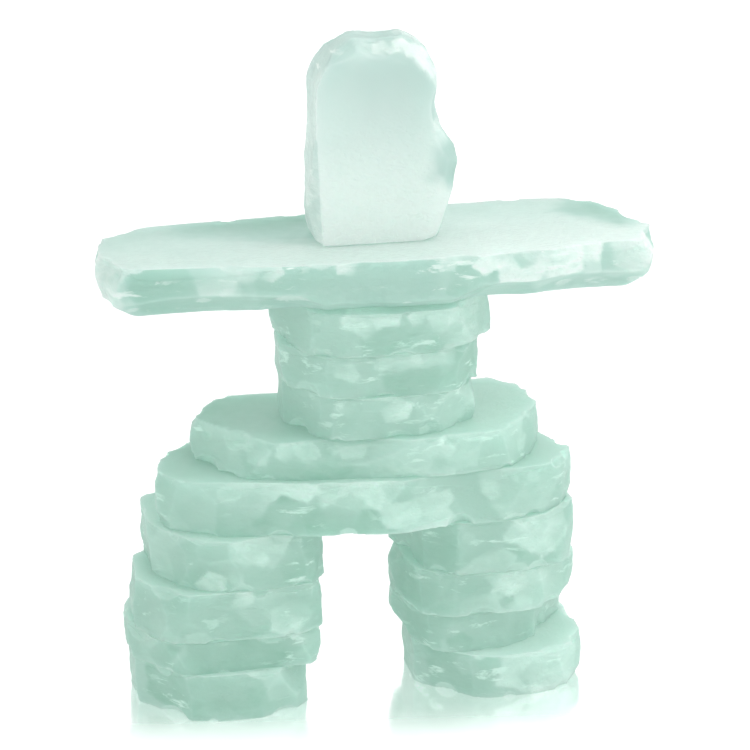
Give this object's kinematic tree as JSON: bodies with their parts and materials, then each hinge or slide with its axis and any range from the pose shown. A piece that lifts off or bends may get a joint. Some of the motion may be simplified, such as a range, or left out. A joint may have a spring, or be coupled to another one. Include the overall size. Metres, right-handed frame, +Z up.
{
  "type": "inukshuk sculpture",
  "caption": "Standing inukshuk ornament of stacked, knapped slabs of frosted green glass: legs, broad hips, waist, trunk, outstretched arm slab and upright head slab.",
  "frame": {"origin": "on the surface under the feet, below the middle of the whole figure", "axes": "+Z up through the head, +X along the arms to the viewer's right, -Y towards the viewer"},
  "size_m": [0.228, 0.079, 0.2783],
  "materials": {
    "frosted_glass": "milky mint-green glass with a satin frosted skin, its rims knapped into shallow flake scars"
  },
  "bodies": {
    "root": {"left_foot_stone": "frosted_glass", "left_ankle_stone": "frosted_glass", "left_shin_stone": "frosted_glass", "left_thigh_stone": "frosted_glass", "right_foot_stone": "frosted_glass", "right_ankle_stone": "frosted_glass", "right_shin_stone": "frosted_glass", "right_thigh_stone": "frosted_glass", "hip_slab": "frosted_glass", "waist_slab": "frosted_glass", "belly_stone": "frosted_glass", "rib_stone": "frosted_glass", "chest_stone": "frosted_glass", "arm_slab": "frosted_glass", "head_stone": "frosted_glass"}
  },
  "joints": []
}
